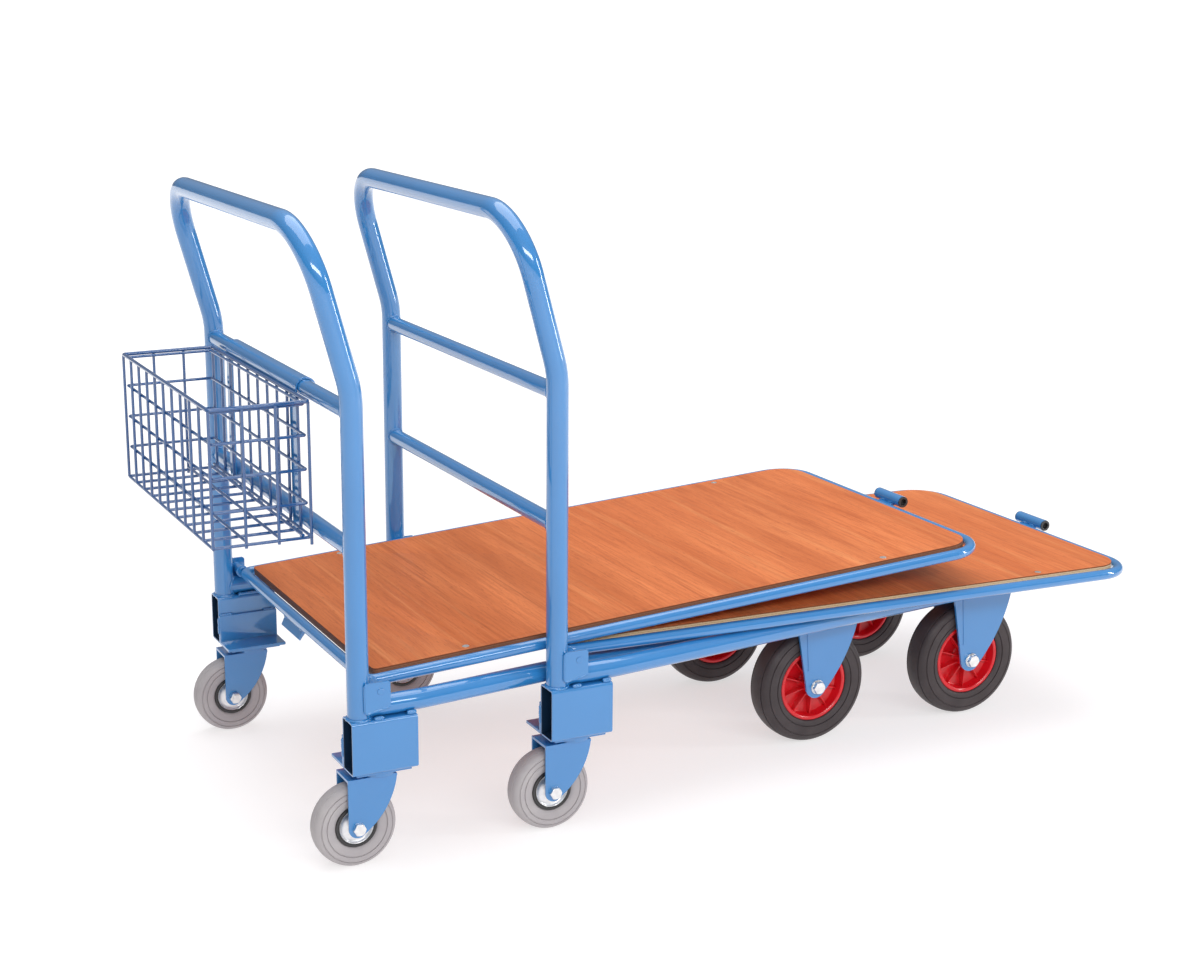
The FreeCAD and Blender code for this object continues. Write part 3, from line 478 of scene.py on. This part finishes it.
# The bevel on each node's edges, in millimetres.
SOFT_EDGES = {"caster_mounts": 0.9, "hinge_plates": 0.8, "wheel_forks": 0.8, "caster_plates": 0.8,
              "deck_slats": 0.8, "deck_brackets": 0.7, "bumper_plugs": 0.3, "hinge_pins": 0.8,
              "wheel_axles": 0.35, "deck_board": 0.7, "deck_screws": 0.25,
              "caster_fork_right": 1.3, "caster_fork_left": 1.3,
              "caster_axle_right": 0.3, "caster_axle_left": 0.3, "hooks": 0.5}


def carry_over():
    """Every CAD node gets its finish; the sheet-metal ones get softer edges too."""
    for node, obj in frame["nodes"].items():
        prefix, _, kind = node.partition("_")
        # The caster mounts get the paint with painted shade inside their boxes.
        material = BOX_PAINT_SHADED_INSIDE if kind == "caster_mounts" else SLOT_MATERIAL.get(NODE_SLOT[node])
        if material is None:
            material = PLY[prefix]
        obj.data.materials.clear()
        obj.data.materials.append(material)
        if kind in SOFT_EDGES:
            on_deck = kind.startswith(("deck", "bumper"))
            place = deck_place(prefix) if on_deck else cart_place(prefix if prefix in CARTS else "rear")
            softened(node, material, place, SOFT_EDGES[kind])


# ---- weld beads ----------------------------------------------------------------------------------

BEAD_POINTS = 24


def circle(centre, across, beside, radius):
    """A round line in the plane of two directions."""
    turns = [2 * math.pi * i / BEAD_POINTS for i in range(BEAD_POINTS)]
    return [Vector(centre) + (Vector(across) * math.cos(t) + Vector(beside) * math.sin(t)) * radius
            for t in turns]


def saddle(z, side):
    """Where a crossbar meets a leg of the bow."""
    line = []
    for i in range(BEAD_POINTS):
        turn = 2 * math.pi * i / BEAD_POINTS
        x = BAR_R * math.sin(turn)
        reach = math.sqrt(BOW_R ** 2 - x ** 2)
        line.append(Vector((x * 1.04, side * (BOW_Y - reach - 0.3), z + BAR_R * 1.04 * math.cos(turn))))
    return line


def rail_end(side):
    """Where a rail meets a leg of the bow, above the box."""
    line = []
    for i in range(BEAD_POINTS):
        turn = 2 * math.pi * i / BEAD_POINTS
        across = RAIL_R * math.sin(turn)
        reach = math.sqrt(BOW_R ** 2 - across ** 2)
        line.append(Vector((reach + 0.4, side * (RAIL_Y + across * 1.03),
                            RAIL_Z + RAIL_R * 1.03 * math.cos(turn))))
    return line


def chassis_welds(prefix):
    """The beads at the bow's feet, the crossbars, the hinge plates, the rails and the angles."""
    beads = []
    for side in (-1, 1):
        for z in BAR_HEIGHTS:
            beads.append(bead(saddle(z, side), 2.0, z + side, closed=True))
        foot = circle((0, side * BOW_Y, BOX_Z[1] + 0.6), (1, 0, 0), (0, 1, 0), BOW_R + 0.7)
        beads.append(bead(foot, 2.4, 3.0 + side, closed=True))
        beads.append(bead(rail_end(side), 1.8, 5.0 + side, closed=True))
        for start, end, radius in CHASSIS_TACKS:
            ends = [Vector((x, side * y, z)) for x, y, z in (start, end)]
            beads.append(bead(ends, radius, start[0] + side))
    piece(prefix + "_weld_beads", joined(beads), PAINT, prefix + "_chassis",
          cart_place(prefix), 60)


def deck_welds(prefix):
    """The beads at the guide tab, the bumper tab, the slats' ends and the hinge bosses."""
    lines = list(DECK_TACKS)
    half, y, z = SLAT_END
    for x in SLAT_X:
        for side in (-1, 1):
            lines.append(((x - half, side * y, z), (x + half, side * y, z), 1.8))
    beads = [bead([Vector(start), Vector(end)], radius, start[0] + start[1])
             for start, end, radius in lines]
    for side in (-1, 1):
        boss = circle((HINGE_X, side * 301.2, HINGE_Z), (1, 0, 0), (0, 0, 1), 8.7)
        beads.append(bead(boss, 1.5, 7.0 + side, closed=True))
    piece(prefix + "_deck_weld_beads", joined(beads), PAINT, prefix + "_deck",
          deck_place(prefix), 60)


# ---- wheels --------------------------------------------------------------------------------------
# Outlines are (radius, offset from the wheel's middle plane) pairs, from the bore outwards.

def both_faces(half):
    """An outline's upper half, mirrored to make the whole."""
    return list(half) + [(r, -y) for r, y in reversed(half)]


def side_wall(half_width, points):
    """A tyre's outline from points that say how far they lie under its widest place."""
    return both_faces([(r, half_width - drop) for r, drop in points])


def wheel_piece(node, shape, material):
    """A piece that stands for a wheel's CAD node."""
    obj = piece(node + "_finish", shape, material, NODE_BODY[node],
                cart_place(node.split("_")[0]), 32)
    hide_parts(node)
    return obj


def caster_tyre(prefix, side, centre):
    """Grey rubber: fine rings moulded in the side wall and a slightly crowned tread."""
    wall = ((32.05, 4.5), (33.5, 3.0), (36.0, 1.8), (39.5, 1.1), (42.5, 0.7), (45.0, 0.4),
            (45.3, 1.7), (46.6, 1.7), (46.9, 0.2), (50.0, 0.05), (53.2, 0.1), (53.5, 1.5),
            (54.7, 1.5), (55.0, 0.4), (57.0, 1.3), (59.3, 3.2), (61.0, 6.2), (61.9, 9.6),
            (62.0, 10.4), (61.5, 10.7), (61.6, 11.6), (62.15, 11.9), (62.4, 14.0), (62.5, 17.0))
    shape = turned(side_wall(CASTER_HALF, wall), centre, 144)
    wheel_piece(f"{prefix}_caster_tyre_{side}", shape, GREY_RUBBER)


def wheel_tyre(prefix, side, centre):
    """Black rubber: a rounded shoulder with a groove, and rings on the side wall."""
    wall = ((62.05, 4.0), (63.0, 2.6), (65.5, 1.4), (69.5, 0.7), (70.2, 0.6), (70.5, 1.9),
            (71.9, 1.9), (72.3, 0.4), (77.0, 0.05), (81.0, 0.0), (85.4, 0.2), (85.9, 1.5),
            (87.4, 1.5), (87.9, 0.6), (90.0, 1.3), (93.0, 2.8), (95.6, 5.0), (97.4, 7.6),
            (98.0, 8.7), (96.9, 9.0), (96.8, 10.9), (98.6, 11.3), (99.2, 13.5), (99.8, 18.0),
            (100.0, 24.0))
    shape = turned(side_wall(WHEEL_HALF, wall), centre, 192)
    wheel_piece(f"{prefix}_wheel_tyre_{side}", shape, BLACK_RUBBER)


def caster_hub(prefix, side, centre):
    """A pressed steel hub with a rolled lip, a dished web and a boss, and a black ring round it."""
    half = ((5.05, 21.2), (10.3, 21.2), (11.0, 20.6), (11.4, 17.0), (12.6, 14.2), (15.0, 12.4),
            (19.0, 11.6), (22.2, 11.7), (23.8, 12.6), (24.8, 14.0), (25.4, 15.2), (25.9, 15.5),
            (26.3, 15.0), (26.5, 12.6))
    ring = ((26.55, 14.4), (27.6, 15.5), (30.0, 15.9), (31.4, 15.4), (31.95, 13.4))
    node = f"{prefix}_caster_hub_{side}"
    wheel_piece(node, turned(both_faces(half), centre, 96), HUB_STEEL)
    piece(f"{prefix}_caster_rim_ring_{side}", turned(both_faces(ring), centre, 96), BLACK,
          NODE_BODY[node], cart_place(prefix), 32)


def wheel_hub(prefix, side, centre):
    """Red moulded hub: a lipped rim, a thin web, a boss and ribs that fall away towards the rim."""
    half = ((6.05, 27.2), (6.8, 28.0), (13.9, 28.0), (14.9, 27.0), (16.2, 13.0), (17.6, 8.0),
            (20.5, 4.9), (25.0, 4.1), (49.5, 4.1), (52.2, 5.4), (53.4, 9.0), (54.3, 18.4),
            (55.2, 20.6), (57.0, 21.8), (59.4, 21.6), (61.0, 20.7), (61.9, 18.6))
    rib = ((15.4, 1.7, 3.0), (15.4, 1.2, 17.5), (54.2, 0.9, 12.5), (54.2, 1.5, 3.0))
    rib_faces = [(0, 1, 3, 2), (2, 3, 5, 4), (4, 5, 7, 6), (6, 7, 1, 0), (0, 2, 4, 6), (1, 7, 5, 3)]
    shapes = [turned(both_faces(half), centre, 144)]
    for i in range(10):
        turn = Matrix.Rotation(math.radians(36.0 * (i + 0.5)), 3, "Y")
        for face in (-1, 1):
            verts = [centre + turn @ Vector((r, face * y, w))
                     for r, across, y in rib for w in (-across, across)]
            shapes.append((verts, rib_faces))
    soften(wheel_piece(f"{prefix}_wheel_hub_{side}", joined(shapes), RED), 0.5, 50)


# ---- basket --------------------------------------------------------------------------------------

def basket():
    """Welded mesh: uprights whose cut ends stick out under the floor, bent rings and a doubled rim."""
    shapes = []
    (x0, x1), (y0, y1) = BASKET_X, BASKET_Y
    bays_x, bays_y, bays_z = BASKET_BAYS
    floor = BASKET_FLOOR_Z
    bay_x, bay_y, bay_z = (x1 - x0) / bays_x, (y1 - y0) / bays_y, (RIM_Z - floor) / bays_z
    upper = floor + 2 * WIRE_R
    top = RIM_Z - 1.0
    side_end, bar_end = BASKET_ENDS

    def wire(start, end):
        shapes.append(sweep(evenly([start, end], 60.0), WIRE_R, 12))

    def ring(z, inset, radius, corner):
        corners = [(x0 + inset, y0 + inset, z), (x1 - inset, y0 + inset, z),
                   (x1 - inset, y1 - inset, z), (x0 + inset, y1 - inset, z)]
        shapes.append(sweep(rounded(corners, corner), radius, 12, closed=True))

    for i in range(bays_y + 1):
        y = y0 + i * bay_y
        wire((x0, y, floor), (x1 + 1.5, y, floor))
        wire((x0, y, floor), (x0, y, top))
        wire((x1, y, floor - bar_end), (x1, y, top))
    for i in range(1, bays_x):
        x = x0 + i * bay_x
        for y in (y0, y1):
            wire((x, y, floor - side_end), (x, y, top))
        wire((x, y0, upper), (x, y1, upper))
    wire((x0 + 1.0, y0, floor - 1.5), (x0 + 1.0, y1, floor - 1.5))
    for x in (x1 - 2 * WIRE_R, x1 - 2 * WIRE_R - 9.0):
        wire((x, y0 - 3.0, upper), (x, y1 + 3.0, upper))
    for i in range(1, bays_z):
        ring(floor + i * bay_z, 1.8 * WIRE_R, WIRE_R, 3.2)
    ring(RIM_Z, 0.0, RIM_R, 4.5)
    ring(RIM_Z - 4.6, 5.0, 2.2, 4.5)
    obj = piece("basket_wires", joined(shapes), WIRE_PAINT, "basket",
                cart_place("rear"), 50)
    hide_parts("wire_basket")


carry_over()
for prefix in CARTS:
    chassis_welds(prefix)
    deck_welds(prefix)
    for side, sign in (("left", 1), ("right", -1)):
        caster_middle, wheel_middle = (Vector((x, sign * y, z)) for x, y, z in (CASTER, WHEEL))
        caster_tyre(prefix, side, caster_middle)
        caster_hub(prefix, side, caster_middle)
        wheel_tyre(prefix, side, wheel_middle)
        wheel_hub(prefix, side, wheel_middle)
basket()

# ---- studio --------------------------------------------------------------------------------------

FLOOR_HALF = 40.0
# Lights: place, aim, width, height and power.
LIGHTS = {"overhead": ((-0.1, 0.4, 4.2), (0.0, 0.1, 0.0), 5.0, 4.0, 132),
          "front_strip": ((-0.6, -4.2, 2.6), (0.0, 0.0, 0.4), 4.6, 0.7, 98),
          "right_strip": ((3.4, -2.0, 1.3), (0.0, 0.0, 0.5), 0.35, 1.8, 36)}
CAMERA_PLACE = (-1.5644, -2.841, 1.260)
CAMERA_TURN = (24.27, 14.32, -0.30)     # yaw, pitch and roll, in degrees
CAMERA_LENS = 60.73
CAMERA_SHIFT = 0.0892


def place_in_scene(name, data):
    """A new object for a mesh, a light or a camera."""
    obj = bpy.data.objects.new(name, data)
    bpy.context.scene.collection.objects.link(obj)
    return obj


def area_light(name, place, target, width, height, power):
    light = bpy.data.lights.new(name, "AREA")
    light.shape = "RECTANGLE"
    light.size = width
    light.size_y = height
    light.energy = power
    obj = place_in_scene(name, light)
    obj.location = place
    obj.rotation_euler = (Vector(target) - Vector(place)).to_track_quat("-Z", "Y").to_euler()


def pale_floor():
    """A wide floor that glows a little more away from the carts, so that it fades into the backdrop."""
    half = FLOOR_HALF
    mesh = bpy.data.meshes.new("studio_floor")
    mesh.from_pydata([(-half, -half, 0), (half, -half, 0), (half, half, 0), (-half, half, 0)],
                     [], [(0, 1, 2, 3)])
    floor = place_in_scene("studio_floor", mesh)
    s = Shader("pale_floor", Roughness=0.8, Specular_IOR_Level=0.0, Emission_Strength=1.0)
    glow = s.ramp(s.math("MULTIPLY", s.distance(), 0.2),
                  (0.3, (0.62, 0.61, 0.61)), (0.75, (0.95, 0.95, 0.95)))
    s.feed(s.surface.inputs["Emission Color"], glow)
    s.colour(s.mix(s.noise(0.8, 3.0), (0.45, 0.443, 0.445), (0.47, 0.463, 0.465)))
    mesh.materials.append(s.material)


def backdrop():
    """White behind the object; a dimmer sky, brighter towards its top, lights it."""
    world = bpy.data.worlds.new("studio_world")
    bpy.context.scene.world = world
    world.use_nodes = True
    tree = world.node_tree
    back = tree.nodes["Background"]
    back.inputs["Color"].default_value = (1.0, 1.0, 1.0, 1)
    sky = tree.nodes.new("ShaderNodeTexCoord")
    split = tree.nodes.new("ShaderNodeSeparateXYZ")
    rise = tree.nodes.new("ShaderNodeMapRange")
    ray = tree.nodes.new("ShaderNodeLightPath")
    level = tree.nodes.new("ShaderNodeMix")
    factor, _, lighting, seen = level.inputs[:4]
    seen.default_value = 1.15
    for socket, value in (("From Min", 0.05), ("From Max", 0.7), ("To Min", 0.16), ("To Max", 0.55)):
        rise.inputs[socket].default_value = value
    tree.links.new(sky.outputs["Generated"], split.inputs[0])
    tree.links.new(split.outputs["Z"], rise.inputs["Value"])
    tree.links.new(ray.outputs["Is Camera Ray"], factor)
    tree.links.new(rise.outputs[0], lighting)
    tree.links.new(level.outputs[0], back.inputs["Strength"])


def camera():
    """The photograph's viewpoint: a slightly long lens above the handle's height."""
    data = bpy.data.cameras.new("camera")
    data.sensor_width = 36
    data.lens = CAMERA_LENS
    data.shift_x = CAMERA_SHIFT
    obj = place_in_scene("camera", data)
    yaw, pitch, roll = (math.radians(angle) for angle in CAMERA_TURN)
    look = Vector((math.sin(yaw) * math.cos(pitch), math.cos(yaw) * math.cos(pitch), -math.sin(pitch)))
    right = Vector((math.cos(yaw), -math.sin(yaw), 0))
    up = right.cross(look)
    turned_right = right * math.cos(roll) + up * math.sin(roll)
    turned_up = turned_right.cross(look)
    turn = Matrix((turned_right, turned_up, -look)).transposed()
    obj.matrix_world = Matrix.Translation(CAMERA_PLACE) @ turn.to_4x4()
    bpy.context.scene.camera = obj


pale_floor()
backdrop()
for name, values in LIGHTS.items():
    area_light(name, *values)
camera()
bpy.context.scene.view_settings.view_transform = "Standard"
